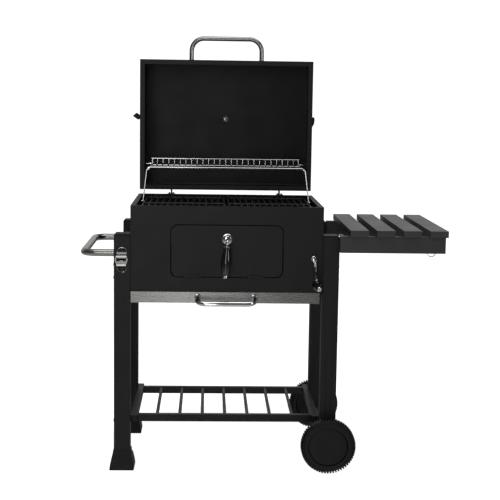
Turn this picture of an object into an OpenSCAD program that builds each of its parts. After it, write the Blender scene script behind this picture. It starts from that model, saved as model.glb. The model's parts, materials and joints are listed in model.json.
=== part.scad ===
// Charcoal grill cart: box firebox with a hinged lid, swing-out warming rack, crank-lifted charcoal tray,
// ash drawer, push handle, slatted side table, lower shelf, two feet and two wheels.
// Frame: X to the right, Y to the back, Z up, origin on the ground under the centre of the bounding box.

/* [Firebox] */
// Outer width of the firebox, in mm
box_w = 590; // [580:1:596]
// Outer depth of the firebox
box_d = 440; // [438:1:446]
// Height of the firebox rim above the ground
box_top = 824; // [820:1:830]
// Height of the firebox walls
box_h = 264; // [262:1:266]
// Sheet thickness of the firebox and lid
sheet = 1.5; // [1.2:0.1:2]
// Width of the inward lip round the firebox rim and the lid rim
rim_lip = 16; // [12:1:16]

/* [Lid] */
// Outer width of the lid
lid_w = 587; // [580:1:590]
// Height of the lid above its rim when closed
lid_h = 205; // [195:1:215]
// Radius of the lid's bent front and back edges
lid_bend = 12; // [6:1:20]
// Gap between the closed lid's rim and the firebox rim
lid_gap = 2; // [1:0.5:4]

/* [Fuel door] */
// Width of the fuel door
door_w = 340; // [320:1:345]
// Height of the fuel door
door_h = 158; // [150:1:160]
// Height of the door's lower edge above the ground
door_z = 607; // [602:1:610]
// Corner radius of the door
door_r = 20; // [12:1:30]
// Gap round the door
door_gap = 3; // [1:0.1:4]

/* [Legs and shelf] */
// Width and depth of a leg tube
leg_w = 50; // [46:1:52]
// Height of the leg tops above the ground
leg_top = 738; // [730:1:745]
// Height of the shelf's top above the ground
shelf_z = 160; // [150:1:180]
// Number of shelf bars
shelf_bar_count = 7; // [5:1:9]

/* [Wheels] */
// Wheel radius
wheel_r = 85; // [78:1:88]
// Wheel width
wheel_w = 38; // [30:1:40]
// Axle radius
axle_r = 5; // [4:0.5:6]

/* [Side table] */
// Height of the table top above the ground
table_z = 758; // [752:1:762]
// Width of a slat
slat_w = 56; // [50:1:60]
// Distance from one slat to the next
slat_pitch = 81.5; // [70:0.5:84]

/* [Charcoal lift] */
// Tooth module of the lifting pinion and its rack
tooth_module = 2; // [2:0.5:2]
// Teeth on the lifting pinion
pinion_teeth = 12; // [12:1:12]
// Travel of the charcoal tray each way from its middle height
tray_travel = 34; // [20:1:34]

/* [Running clearance] */
// Radial clearance of shafts and pins in their bores
fit_gap = 0.05; // [0.02:0.01:0.1]

/* [Hidden] */
$fn = 64;
half_w = box_w / 2;
box_z = box_top - box_h;

// Lid hinge axis and the closed lid's rim height
hinge_y = box_d + 16;
hinge_z = box_top - 3.5;
rim_z = box_top + lid_gap;
lid_half = lid_w / 2;
hinge_pin_r = 4;
hinge_x = 185;

// Legs: front pair and rear pair
leg_y = [-6, box_d + 8 - leg_w];
leg_x = half_w + leg_w / 2;
leg_wall = 1.5;
foot_top = 58;
right_leg_z = 50;

// Warming rack linkage: a parallelogram of lid, rack and wire legs
rack_leg_p = [302, 811];
link = [64, 100.6];
rack_f = rack_leg_p + link;
rack_l = [hinge_y, hinge_z] + link;
rack_half = 256;
rack_z = 918;
rack_front = rack_f[0];
rack_depth = 158;
rack_fence = 21;
rack_bars = 25;
rack_bar_r = 1.6;
eye_x = rack_half + 4;
rack_pin_r = 2;

// Wheels and axle
axle_x = leg_x;
wheel_front_y = leg_y[0] - 10.5 - wheel_w;
wheel_rear_y = leg_y[1] + leg_w + 10.5;
hub_depth = 8;

// Door, door handle and its latch
door_hinge = [-3.2, door_z - door_gap / 2];
knuckle_x = [-104, 89];
knuckle_r = 2.8;
knuckle_half = 25;
leaf_half = 14;
door_pin_r = 1.5;
rosette_z = 723.6;
handle_lean = 3;
grip_y = -45;
latch_y = 11;

// Crank, pinion and rack
crank_x = 266.5;
crank_z = 665.8;
crank_lean = 5.9;
crank_len = 77.5;
arm_y = -30;
knob_front = -116;
pinion_r = tooth_module * pinion_teeth / 2;
pressure = 20;
gear_y = 18;
gear_w = 12;
tooth_play = 0.3;

// Charcoal tray
tray_half = 248;
tray_y = [32, 410];
tray_z = 700;
tray_h = 45;
guide_y = 221;

// Grates
ledge_z = 809;
grate_x = [7, 265];
grate_y = [12, box_d - 12];
grate_bars = 12;
grate_frame_r = 3;
grate_bar_r = 2.2;

// Ash drawer
drawer_x = [-half_w + 1, half_w - 8.5];
drawer_h = 34;
drawer_mid = -1.3;
drawer_handle_half = 87;
pan_wall = 1.2;

// Side table
table_y = [-34, box_d + 34];
slat_x = 374;
slat_t = 20;
apron_h = 51;
apron_t = 20;
apron_y = [-18, 424];
table_right = slat_x + 3 * slat_pitch + slat_w;

// Push handle
push_r = 11;
push_z = 676;
push_reach = 451;
push_bend = 40;

// Origin: ground point under the centre of the bounding box
thermo = [2, 201.5];
thermo_t = 17;
lid_back = hinge_y + rim_z - hinge_z + lid_h + thermo_t;
origin = [(table_right - push_reach) / 2, (knob_front + lid_back) / 2, 0];

// ---- shared shapes ----

module placed() { translate(-origin) children(); }

// Box between two corners
module block(a, b) { translate(a) cube(b - a); }

module both_sides() { for (s = [0, 1]) mirror([s, 0, 0]) children(); }

// Round bars along X, Y and Z
module bar_x(p, len, r) { translate(p) rotate([0, 90, 0]) cylinder(h = len, r = r); }
module bar_y(p, len, r) { translate(p) rotate([-90, 0, 0]) cylinder(h = len, r = r); }
module bar_z(p, len, r) { translate(p) cylinder(h = len, r = r); }

// Round wire between two points
module wire(a, b, r) {
    d = b - a;
    flat = norm([d[0], d[1]]);
    translate(a) rotate([0, atan2(flat, d[2]), atan2(d[1], d[0])]) cylinder(h = norm(d), r = r);
}

// Quarter bend in the XY plane, centred on the origin, from +X towards +Y
module elbow(bend, r) { rotate_extrude(angle = 90) translate([bend, 0]) circle(r = r); }

// U-shaped bow in the XY plane: ends at y = 0, crossbar at y = reach
module bow(half, reach, bend, r) {
    both_sides() {
        bar_y([half, 0, 0], reach - bend, r);
        translate([half - bend, reach - bend, 0]) elbow(bend, r);
    }
    bar_x([bend - half, reach, 0], 2 * (half - bend), r);
}

// Rounded rectangle, centred
module rounded(w, h, r) {
    square([w, h - 2 * r], center = true);
    square([w - 2 * r, h], center = true);
    for (x = [r - w / 2, w / 2 - r], y = [r - h / 2, h / 2 - r]) translate([x, y]) circle(r = r);
}

// Extrudes a YZ profile along X, from x0
module along_x(x0, len) { translate([x0, 0, 0]) rotate([90, 0, 90]) linear_extrude(len) children(); }

// Extrudes an XZ profile along +Y, from y0
module along_y(y0, len) {
    translate([0, y0 + len, 0]) rotate([90, 0, 0]) linear_extrude(len) children();
}

// Turns the closed lid to its open rest place
module open_lid() {
    translate([0, hinge_y, hinge_z]) rotate([-90, 0, 0]) translate([0, -hinge_y, -hinge_z]) children();
}

// ---- firebox ----

module door_shape(grow) {
    translate([0, door_z + door_h / 2]) rounded(door_w + 2 * grow, door_h + 2 * grow, door_r + grow);
}

// Fixed knuckles and pin of one door hinge
module door_hinge_fixed(x) {
    len = knuckle_half - leaf_half - 0.5;
    for (x0 = [x - knuckle_half, x + leaf_half + 0.5]) {
        bar_x([x0, door_hinge[0], door_hinge[1]], len, knuckle_r);
        block([x0, door_hinge[0], door_hinge[1] - 6], [x0 + len, 0, door_hinge[1]]);
    }
    bar_x([x - knuckle_half, door_hinge[0], door_hinge[1]], 2 * knuckle_half, door_pin_r);
}

module firebox_front_panel() {
    placed() color([0.13, 0.13, 0.13]) {
        difference() {
            along_y(0, sheet) translate([-half_w, box_z]) square([box_w, box_h]);
            along_y(-1, sheet + 2) door_shape(door_gap);
            bar_y([crank_x, -1, crank_z], sheet + 2, axle_r + 0.6);
        }
        for (x = knuckle_x) door_hinge_fixed(x);
        block([-half_w + sheet, sheet, box_top - sheet], [half_w - sheet, rim_lip, box_top]);
    }
}

module firebox_back_panel() {
    placed() color([0.13, 0.13, 0.13]) {
        block([-half_w, box_d - sheet, box_z], [half_w, box_d, box_top]);
        block([-half_w + sheet, box_d - rim_lip, box_top - sheet],
            [half_w - sheet, box_d - sheet, box_top]);
    }
}

module side_panel() {
    difference() {
        block([half_w - sheet, sheet, box_z], [half_w, box_d - sheet, box_top]);
        bar_x([half_w - 5, rack_leg_p[0], rack_leg_p[1]], 10, rack_pin_r + fit_gap);
    }
    block([half_w - rim_lip, rim_lip, box_top - sheet], [half_w - sheet, box_d - rim_lip, box_top]);
}

module firebox_left_panel() { placed() color([0.13, 0.13, 0.13]) mirror([1, 0, 0]) side_panel(); }

module firebox_right_panel() { placed() color([0.13, 0.13, 0.13]) side_panel(); }

module firebox_floor() {
    placed() color([0.12, 0.12, 0.12]) difference() {
        block([-half_w + sheet, sheet, box_z], [half_w - sheet, box_d - sheet, box_z + sheet]);
        block([-200, 60, box_z - 1], [200, box_d - 60, box_z + 5]);
    }
}

module grate_ledges() {
    placed() color([0.12, 0.12, 0.12]) for (s = [0, 1]) translate([0, s * box_d, 0]) mirror([0, s, 0]) {
        block([-half_w + 5, sheet, ledge_z - 15], [half_w - 5, 2 * sheet, ledge_z]);
        block([-half_w + 5, 2 * sheet, ledge_z - sheet], [half_w - 5, 18, ledge_z]);
    }
}

module drawer_runners() {
    placed() color([0.2, 0.2, 0.2]) for (x = [[drawer_x[0] + 1, 1], [drawer_x[1] - 1, -1]])
        translate([x[0], 0, 0]) {
            block([min(0, -x[1] * 1.5), 14, box_z - 14], [max(0, -x[1] * 1.5), box_d - 20, box_z]);
            block([min(0, x[1] * 9), 14, box_z - 14], [max(0, x[1] * 9), box_d - 20, box_z - 12.5]);
        }
}

module tray_guides() {
    placed() color([0.2, 0.2, 0.2]) both_sides() for (s = [-1, 1])
        block([half_w - sheet - 14, guide_y + s * 14 - 1, 600],
            [half_w - sheet, guide_y + s * 14 + 1, 790]);
}

module grill_grate() {
    z = ledge_z + grate_frame_r;
    len = grate_y[1] - grate_y[0];
    mid = (grate_y[0] + grate_y[1]) / 2;
    bar_pitch = (grate_x[1] - grate_x[0]) / (grate_bars + 1);
    for (x = grate_x) bar_y([x, grate_y[0] - 3.5, z], len + 7, grate_frame_r);
    for (y = [grate_y[0], mid, grate_y[1]]) bar_x([grate_x[0], y, z - 0.5], grate_x[1] - grate_x[0], 2.5);
    for (i = [1 : grate_bars]) bar_y([grate_x[0] + i * bar_pitch, grate_y[0], z + 1.6], len, grate_bar_r);
}

module grill_grate_left() { placed() color([0.25, 0.25, 0.25]) mirror([1, 0, 0]) grill_grate(); }

module grill_grate_right() { placed() color([0.25, 0.25, 0.25]) grill_grate(); }

// ---- cart frame ----

module leg(side, y, z0) {
    x = side * leg_x - leg_w / 2;
    difference() {
        block([x, y, z0], [x + leg_w, y + leg_w, leg_top - 6]);
        block([x + leg_wall, y + leg_wall, z0 - 1], [x + leg_w - leg_wall, y + leg_w - leg_wall,
            leg_top]);
        if (side > 0) bar_y([axle_x, y - 5, wheel_r], leg_w + 10, axle_r + fit_gap);
    }
}

module leg_front_left() { placed() color([0.13, 0.13, 0.13]) leg(-1, leg_y[0], foot_top - 34); }

module leg_rear_left() { placed() color([0.13, 0.13, 0.13]) leg(-1, leg_y[1], foot_top - 34); }

module leg_front_right() { placed() color([0.13, 0.13, 0.13]) leg(1, leg_y[0], right_leg_z); }

module leg_rear_right() { placed() color([0.13, 0.13, 0.13]) leg(1, leg_y[1], right_leg_z); }

module leg_caps() {
    placed() color([0.1, 0.1, 0.1]) {
        for (y = leg_y) both_sides() {
            along_y(y, leg_w) translate([half_w, leg_top - 6])
                polygon([[0, 0], [leg_w, 0], [leg_w, 1], [leg_w - 5, 6], [0, 6]]);
            block([half_w + leg_wall + 0.5, y + leg_wall + 0.5, leg_top - 20],
                [half_w + leg_w - leg_wall - 0.5, y + leg_w - leg_wall - 0.5, leg_top - 6]);
        }
        for (y = leg_y) {
            block([half_w, y, right_leg_z - 4], [half_w + leg_w, y + leg_w, right_leg_z]);
            block([half_w + leg_wall + 0.5, y + leg_wall + 0.5, right_leg_z],
                [half_w + leg_w - leg_wall - 0.5, y + leg_w - leg_wall - 0.5, right_leg_z + 14]);
        }
    }
}

// One tier of a foot between two rectangles
module foot_tier(z0, a, z1, b) {
    hull() {
        translate([-a[0] / 2, -a[1] / 2, z0]) cube([a[0], a[1], 0.01]);
        translate([-b[0] / 2, -b[1] / 2, z1 - 0.01]) cube([b[0], b[1], 0.01]);
    }
}

module feet() {
    placed() color([0.09, 0.09, 0.1]) for (y = leg_y) translate([-leg_x, y + leg_w / 2, 0]) difference() {
        union() {
            foot_tier(0, [76, 88], 36, [64, 72]);
            foot_tier(35.9, [64, 72], 48, [55, 55]);
            foot_tier(47.9, [55, 55], foot_top, [55, 55]);
        }
        translate([-leg_w / 2, -leg_w / 2, foot_top - 34]) cube([leg_w, leg_w, 60]);
    }
}

module axle() {
    placed() color([0.75, 0.75, 0.75]) bar_y([axle_x, wheel_front_y + hub_depth + 1, wheel_r],
        wheel_rear_y + wheel_w - wheel_front_y - 2 * hub_depth - 2, axle_r);
}

rail_t = 20;
rail_h = 22.6;
shelf_y = [leg_y[0] + leg_w - 8, leg_y[1] + leg_w];
cross_y = [47, 398];

module shelf_side_rails() {
    placed() color([0.13, 0.13, 0.13]) both_sides() difference() {
        block([half_w - rail_t, shelf_y[0], shelf_z - rail_h], [half_w, shelf_y[1], shelf_z]);
        block([half_w - rail_t + leg_wall, shelf_y[0] + leg_wall, shelf_z - rail_h - 1],
            [half_w - leg_wall, shelf_y[1] - leg_wall, shelf_z - leg_wall]);
    }
}

module shelf_cross_rails() {
    placed() color([0.13, 0.13, 0.13]) for (y = cross_y) difference() {
        block([-half_w + rail_t, y, shelf_z - rail_h], [half_w - rail_t, y + rail_t, shelf_z]);
        block([-half_w + rail_t + leg_wall, y + leg_wall, shelf_z - rail_h - 1],
            [half_w - rail_t - leg_wall, y + rail_t - leg_wall, shelf_z - leg_wall]);
    }
}

module shelf_bars() {
    pitch = (box_w - 2 * rail_t + 20) / (shelf_bar_count + 1);
    placed() color([0.14, 0.14, 0.14]) for (i = [1 : shelf_bar_count])
        bar_y([(i - (shelf_bar_count + 1) / 2) * pitch, cross_y[0] + rail_t, shelf_z - 6],
            cross_y[1] - cross_y[0] - rail_t, 5.3);
}

module push_shape(r) {
    span = leg_y[1] - leg_y[0];
    translate([-half_w - leg_w, leg_y[0] + (leg_w + span) / 2, push_z]) rotate([0, 0, 90])
        bow(span / 2, push_reach - push_r - half_w - leg_w, push_bend, r);
}

module push_handle() {
    placed() color([0.75, 0.75, 0.75]) difference() {
        push_shape(push_r);
        push_shape(push_r - 1.2);
    }
}

module opener_plate() {
    placed() color([0.12, 0.12, 0.12]) {
        along_y(leg_y[0] - 3, 3) translate([-leg_x, 658.4]) rounded(31, 76, 15.4);
        for (z = [688, 629]) bar_y([-leg_x, leg_y[0] - 5, z], 2, 3.5);
    }
}

// Stamped opener: back tab, ledge, bowed loop with an arched tongue, and a lip sloping forward at the bottom
module bottle_opener() {
    plate = leg_y[0] - 3;
    front = plate - 17;
    placed() color([0.7, 0.7, 0.68]) translate([-leg_x - 1, 0, 0]) {
        block([-15, plate - 2, 671], [15, plate, 682]);
        block([-15, front, 671], [15, plate - 2, 673.5]);
        difference() {
            along_y(front, 2) polygon([[-17, 675], [17, 675], [20, 661], [15, 646], [-15, 646],
                [-20, 661]]);
            along_y(front - 1, 4)
                polygon([[-14, 667], [14, 667], [16, 662], [12, 655], [4, 659], [-4, 659],
                [-12, 655], [-16, 662]]);
        }
        along_x(-15, 30) polygon([[front, 646], [front + 2, 646], [front - 4, 641], [front - 5, 642.5]]);
    }
}

bolt_z = [shelf_z - 11, 600, 640];

module frame_bolts() {
    placed() color([0.2, 0.2, 0.2]) for (y = leg_y, z = bolt_z) both_sides()
        bar_x([half_w + leg_w, y + leg_w / 2, z], 3, 6);
}

// ---- side table ----

module slat(i) {
    x = slat_x + (i - 1) * slat_pitch;
    placed() color([0.28, 0.28, 0.28]) difference() {
        block([x, table_y[0], table_z - slat_t], [x + slat_w, table_y[1], table_z]);
        block([x + 1.5, table_y[0] + 1.5, table_z - slat_t - 1],
            [x + slat_w - 1.5, table_y[1] - 1.5, table_z - 1.5]);
    }
}

module table_slat_1() { slat(1); }

module table_slat_2() { slat(2); }

module table_slat_3() { slat(3); }

module table_slat_4() { slat(4); }

module apron(y) {
    z = table_z - slat_t;
    placed() color([0.2, 0.2, 0.2]) difference() {
        block([half_w + leg_w, y, z - apron_h], [table_right - 5, y + apron_t, z]);
        block([half_w + leg_w + 1.5, y + 1.5, z - apron_h - 1],
            [table_right - 6.5, y + apron_t - 1.5, z - 1.5]);
    }
}

// Both aprons, the front one with a screw tab beside the leg
module table_aprons() {
    x = half_w + leg_w;
    y = apron_y[0] + apron_t;
    z = table_z - slat_t;
    apron(apron_y[0]);
    placed() color([0.2, 0.2, 0.2]) block([x, y - 1.5, z - 1.5], [x + 14, y + 45, z]);
    apron(apron_y[1]);
}

module table_end_rail() {
    x = table_right - 5 - apron_t;
    y0 = apron_y[0] + apron_t;
    z = table_z - slat_t;
    placed() color([0.2, 0.2, 0.2]) difference() {
        block([x, y0, z - apron_h], [x + apron_t, apron_y[1], z]);
        block([x + 1.5, y0 - 1, z - apron_h - 1], [x + apron_t - 1.5, apron_y[1] + 1, z - 1.5]);
    }
}

module table_hook() {
    wire_r = 1.4;
    inside = apron_y[0] + 1.55 + wire_r;
    placed() color([0.75, 0.75, 0.75]) translate([625.6, inside, table_z - slat_t - apron_h + 4]) {
        rotate([90, 0, 0]) rotate([0, 0, 180])
            rotate_extrude(angle = 180) translate([13, 0]) circle(r = wire_r, $fn = 24);
        both_sides() bar_z([13, 0, 0], 6, wire_r);
    }
}

// ---- lid ----

// Side view of the closed lid, inset from its outside and running on below its rim
module lid_profile(inset, below) {
    translate([inset, rim_z - below]) square([box_d - 2 * inset, lid_h - lid_bend + below]);
    translate([lid_bend, rim_z - below]) square([box_d - 2 * lid_bend, lid_h - inset + below]);
    for (y = [lid_bend, box_d - lid_bend]) translate([y, rim_z + lid_h - lid_bend])
        circle(r = lid_bend - inset);
}

vent_y = [190, 206];
vent_z = 924.5;
vent_r = 40;

module lid_wrap() {
    wrap_half = lid_half - sheet;
    placed() color([0.13, 0.13, 0.13]) open_lid() difference() {
        union() {
            along_x(-wrap_half, 2 * wrap_half) difference() {
                lid_profile(0, 0);
                lid_profile(sheet, 1);
            }
            block([-wrap_half, sheet, rim_z], [wrap_half, rim_lip, rim_z + sheet]);
            block([-wrap_half, box_d - rim_lip, rim_z], [wrap_half, box_d - sheet, rim_z + sheet]);
        }
        bar_z([thermo[0], thermo[1], rim_z + lid_h - 10], 20, 4.6);
    }
}

module lid_cheek(y) {
    difference() {
        along_x(lid_half - sheet, sheet) lid_profile(0, 0);
        for (a = [45 : 90 : 315]) bar_x([lid_half - 5, y + 22 * cos(a), vent_z + 22 * sin(a)], 10, 8);
        bar_x([lid_half - 5, y, vent_z], 10, 3 + fit_gap);
    }
    block([lid_half - rim_lip, rim_lip, rim_z], [lid_half - sheet, box_d - rim_lip, rim_z + sheet]);
}

module lid_cheek_left() {
    placed() color([0.13, 0.13, 0.13]) open_lid() mirror([1, 0, 0]) lid_cheek(vent_y[0]);
}

module lid_cheek_right() { placed() color([0.13, 0.13, 0.13]) open_lid() lid_cheek(vent_y[1]); }

lid_handle_z = 905;

module lid_handle() {
    placed() color([0.7, 0.7, 0.68]) open_lid() {
        translate([0, 0, lid_handle_z]) rotate([0, 0, 180]) difference() {
            bow(120.5, 75, 42, 8);
            bow(120.5, 75, 42, 6.8);
        }
        both_sides() bar_y([120.5, sheet, lid_handle_z], 4, 7);
    }
}

module lid_hinge_leaves() {
    placed() color([0.2, 0.2, 0.2]) open_lid() both_sides() {
        block([hinge_x - 2.5, box_d, rim_z + 2], [hinge_x + 2.5, hinge_y + 5, rim_z + 26]);
        along_x(hinge_x - 2.5, 5)
            polygon([[hinge_y - 5, hinge_z], [hinge_y + 5, hinge_z], [hinge_y + 5, rim_z + 3],
            [hinge_y - 5, rim_z + 3]]);
        bar_x([hinge_x - 2.5, hinge_y, hinge_z], 5, 5);
        bar_x([hinge_x - 13, hinge_y, hinge_z], 26, hinge_pin_r);
    }
}

module lid_hinge_brackets() {
    placed() color([0.2, 0.2, 0.2]) both_sides() for (s = [-1, 1]) difference() {
        union() {
            block([hinge_x + s * 6.5 - 2.5, box_d, hinge_z - 30],
                [hinge_x + s * 6.5 + 2.5, hinge_y, hinge_z - 4]);
            block([hinge_x + s * 6.5 - 2.5, hinge_y - 8, hinge_z - 8],
                [hinge_x + s * 6.5 + 2.5, hinge_y, hinge_z]);
            bar_x([hinge_x + s * 6.5 - 2.5, hinge_y, hinge_z], 5, 8);
        }
        bar_x([hinge_x - 20, hinge_y, hinge_z], 40, hinge_pin_r + fit_gap);
    }
}

module thermometer() {
    top = rim_z + lid_h;
    placed() color([0.75, 0.75, 0.75]) open_lid() translate([thermo[0], thermo[1], top]) {
        rotate_extrude() polygon([[0, 0], [27, 0], [30, 3], [30, 12], [28, thermo_t], [0, thermo_t]]);
        bar_z([0, 0, -46], 47, 3.2);
        bar_z([0, 0, -sheet - 6], 6, 6.5, $fn = 6);
    }
}

module rack_pivot_bolts() {
    y = hinge_y - (rack_l[1] - hinge_z);
    z = hinge_z + (rack_l[0] - hinge_y);
    placed() color([0.75, 0.75, 0.75]) open_lid() both_sides() {
        bar_x([rack_half + 1, y, z], lid_half - sheet - rack_half - 1, rack_pin_r);
        bar_x([lid_half, y, z], 3.5, 4.5);
    }
}

module vent_disc(y) {
    difference() {
        bar_x([lid_half + 0.4, y, vent_z], 1.2, vent_r);
        for (a = [45 : 90 : 315]) bar_x([lid_half - 5, y + 22 * cos(a), vent_z + 22 * sin(a)], 10, 8);
    }
    bar_x([lid_half - sheet - 3, y, vent_z], 6, 3);
    bar_x([lid_half - sheet - 5, y, vent_z], 2, 6);
}

module vent_left() {
    placed() color([0.1, 0.1, 0.1]) open_lid() mirror([1, 0, 0]) {
        vent_disc(vent_y[0]);
        translate([0, vent_y[0], vent_z - 7]) linear_extrude(14)
            polygon([[lid_half + 1, 2], [lid_half + 17, -8.5], [lid_half + 30, 2.5],
                [lid_half + 13, 15], [lid_half + 1, 12]]);
    }
}

module vent_right() {
    placed() color([0.1, 0.1, 0.1]) open_lid() {
        vent_disc(vent_y[1]);
        translate([lid_half + 1, vent_y[1], vent_z - 7]) linear_extrude(14)
            polygon([[0, -17], [12, -17], [15, -10], [15, 2], [8, 18], [0, 20]]);
    }
}

// ---- warming rack ----

// Eye of the rack for a pin at a point of the YZ plane
module rack_eye(p, bore) {
    difference() {
        union() {
            bar_x([eye_x - 2, p[0], p[1]], 4, 5);
            block([rack_half - 2, p[0] - 2, rack_z - 1.5], [eye_x + 1.5, p[0] + 2, rack_z + 1.5]);
        }
        bar_x([rack_half + 0.5, p[0], p[1]], 10, bore);
    }
}

module warming_rack() {
    rear = rack_front + rack_depth;
    bend = 3;
    placed() color([0.75, 0.75, 0.75]) {
        bar_x([-rack_half, rack_front, rack_z], 2 * rack_half, 2.8);
        bar_x([-rack_half, rear - 8, rack_z - 1.5], 2 * rack_half, 2.5);
        bar_x([-rack_half, rear, rack_z + rack_fence], 2 * rack_half, 2.5);
        for (i = [1 : rack_bars])
            translate([-rack_half + i * 2 * rack_half / (rack_bars + 1), rear, rack_z + 1.2]) {
            bar_y([0, -rack_depth, 0], rack_depth - bend, rack_bar_r);
            translate([0, -bend, bend]) rotate([0, 90, 0]) elbow(bend, rack_bar_r);
            bar_z([0, 0, bend], rack_fence - bend - 1.2, rack_bar_r);
        }
        both_sides() {
            bar_y([rack_half - 2.5, rack_front, rack_z], rack_depth, 2.3);
            bar_z([rack_half - 2.5, rear, rack_z - 2], rack_fence + 2, 2.2);
            rack_eye(rack_f, rack_pin_r + 0.6);
            rack_eye(rack_l, rack_pin_r + fit_gap);
        }
    }
}

module rack_legs() {
    low = [273, rack_leg_p[0], rack_leg_p[1]];
    high = [rack_half + 8.5, rack_f[0], rack_f[1]];
    placed() color([0.75, 0.75, 0.75]) both_sides() {
        wire(low, high, 1.9);
        bar_x(low - [2.3, 0, 0], half_w + 5.3 - low[0], rack_pin_r);
        bar_x([rack_half + 1, high[1], high[2]], high[0] + 2.2 - rack_half - 1, rack_pin_r);
    }
}

// ---- fuel door ----

module fuel_door() {
    placed() color([0.14, 0.14, 0.14]) difference() {
        union() {
            along_y(0, sheet) door_shape(0);
            along_y(sheet, 9) difference() {
                door_shape(-6);
                door_shape(-6 - sheet);
            }
            for (x = knuckle_x) {
                bar_x([x - leaf_half, door_hinge[0], door_hinge[1]], 2 * leaf_half, knuckle_r);
                block([x - leaf_half, door_hinge[0], door_hinge[1]],
                    [x + leaf_half, 0, door_hinge[1] + 7]);
            }
        }
        for (x = knuckle_x) bar_x([x - 40, door_hinge[0], door_hinge[1]], 80, door_pin_r + fit_gap);
        bar_y([0, -5, rosette_z], 20, 4 + fit_gap);
    }
}

// Things on the door handle, hanging a little to the left
module hanging() {
    translate([0, 0, rosette_z]) rotate([0, handle_lean, 0]) translate([0, 0, -rosette_z]) children();
}

module door_handle_metal() {
    bend = 14;
    spindle = 4;
    placed() color([0.8, 0.8, 0.8]) hanging() {
        translate([0, 0, rosette_z]) {
            bar_y([0, -4, 0], 3.7, 16.4);
            bar_y([0, -8, 0], 5, 10);
            bar_y([0, grip_y + bend, 0], latch_y + 5 - grip_y - bend, spindle);
            translate([0, grip_y + bend, -bend]) rotate([0, 0, -90]) rotate([90, 0, 0])
                elbow(bend, spindle);
        }
        translate([0, grip_y, rosette_z - 115]) rotate_extrude()
            polygon([[0, 0], [6, 0.6], [8, 2.6], [8.2, 5], [7, 9], [6, 11], [0, 11]]);
    }
}

module door_handle_grip() {
    placed() color([0.06, 0.06, 0.06]) hanging() translate([0, grip_y, rosette_z - 104])
        rotate_extrude() polygon([[0, 0], [10.5, 0], [11.5, 2], [13.8, 12], [15.5, 26], [15.5, 38],
            [14, 52], [11.5, 66], [9, 77], [9, 79], [12, 80], [12, 85], [11, 86], [0, 86]]);
}

module door_latch() {
    placed() color([0.3, 0.3, 0.3]) translate([0, latch_y, rosette_z]) {
        difference() {
            block([-10, 0, -7], [56, 3, 7]);
            bar_y([0, -1, 0], 5, 4);
        }
        difference() {
            bar_y([0, 3, 0], 2, 7);
            bar_y([0, 2, 0], 5, 4);
        }
    }
}

// ---- crank and charcoal tray ----

// Angle by which an involute leaves the base circle, for a pressure angle a
function involute(a) = tan(a) * 180 / PI - a;

// Half the angle that a pinion tooth takes at radius r
function tooth_half(r) = let (base = pinion_r * cos(pressure), a = acos(min(1, base / r)))
    90 / pinion_teeth - tooth_play / 2 / pinion_r * 180 / PI + involute(pressure) - involute(a);

function tooth_side(side) = let (base = pinion_r * cos(pressure), tip = pinion_r + tooth_module)
    [for (k = [0 : 4]) let (r = base + (side > 0 ? 4 - k : k) / 4 * (tip - base)) [r,
        side * tooth_half(r)]];

module pinion_shape() {
    root = pinion_r - 1.25 * tooth_module;
    foot = tooth_half(pinion_r * cos(pressure));
    polygon([for (i = [0 : pinion_teeth - 1], p = concat([[root, -foot]], tooth_side(-1),
        tooth_side(1), [[root, foot]]))
        p[0] * [cos(180 + i * 360 / pinion_teeth + p[1]), sin(180 + i * 360 / pinion_teeth + p[1])]]);
}

// Toothed edge facing +X with its pitch line at x = 0 and a gap centred on z = 0
module rack_shape(count, back) {
    pitch = PI * tooth_module;
    add = 0.6 * tooth_module;
    ded = 1.25 * tooth_module;
    half = pitch / 4 - tooth_play / 2;
    for (i = [-count : count - 1]) translate([0, (i + 0.5) * pitch])
        polygon([[-ded - 0.1, -half - ded * tan(pressure)], [add, -half + add * tan(pressure)],
            [add, half - add * tan(pressure)], [-ded - 0.1, half + ded * tan(pressure)]]);
    translate([back, -count * pitch]) square([-ded - back, 2 * count * pitch]);
}

module crank_collar() {
    placed() color([0.75, 0.75, 0.75]) difference() {
        union() {
            bar_y([crank_x, -3, crank_z], 3, 8.4);
            bar_y([crank_x, -9, crank_z], 6, 6.8);
        }
        bar_y([crank_x, -20, crank_z], 40, axle_r + fit_gap);
    }
}

// Things on the crank arm: origin on the shaft axis, arm along -Z
module on_arm() { translate([crank_x, 0, crank_z]) rotate([0, -crank_lean, 0]) children(); }

module crank_shaft() {
    placed() color([0.75, 0.75, 0.75]) {
        bar_y([crank_x, arm_y - 6, crank_z], gear_y + gear_w - arm_y + 7, axle_r);
        bar_y([crank_x, arm_y - 5, crank_z], 10, axle_r + 2);
        translate([crank_x, 0, crank_z]) along_y(gear_y, gear_w) pinion_shape();
        on_arm() translate([0, arm_y, 0]) {
            bar_z([0, 0, -crank_len], crank_len, 3.5);
            bar_z([0, 0, -13], 3, 4.8);
            bar_z([0, 0, -21], 5, 4.8);
            bar_z([0, 0, -64], 4, 4.8);
            bar_y([0, -9, -crank_len], 18, 3);
        }
    }
}

module crank_sleeve() {
    placed() color([0.08, 0.08, 0.08]) on_arm() translate([0, arm_y, 0]) difference() {
        bar_z([0, 0, -60], 39, 5.4);
        bar_z([0, 0, -70], 60, 3.5);
    }
}

knob_pin_r = 3;
knob_pin_y = arm_y - 4.5;
knob_len = 68;

module crank_knob() {
    placed() color([0.08, 0.08, 0.08]) on_arm() translate([0, knob_pin_y, -crank_len])
        rotate([90, 0, 0]) difference() {
        rotate_extrude() polygon([[0, 0], [13, 0], [13, 1], [15.5, 3.5], [14.2, 8], [9.6, 14], [7.4, 24],
            [8, 40], [7, 56], [5.5, knob_len], [0, knob_len]]);
        translate([0, 0, -1]) cylinder(h = 6, r = knob_pin_r + fit_gap);
    }
}

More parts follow.
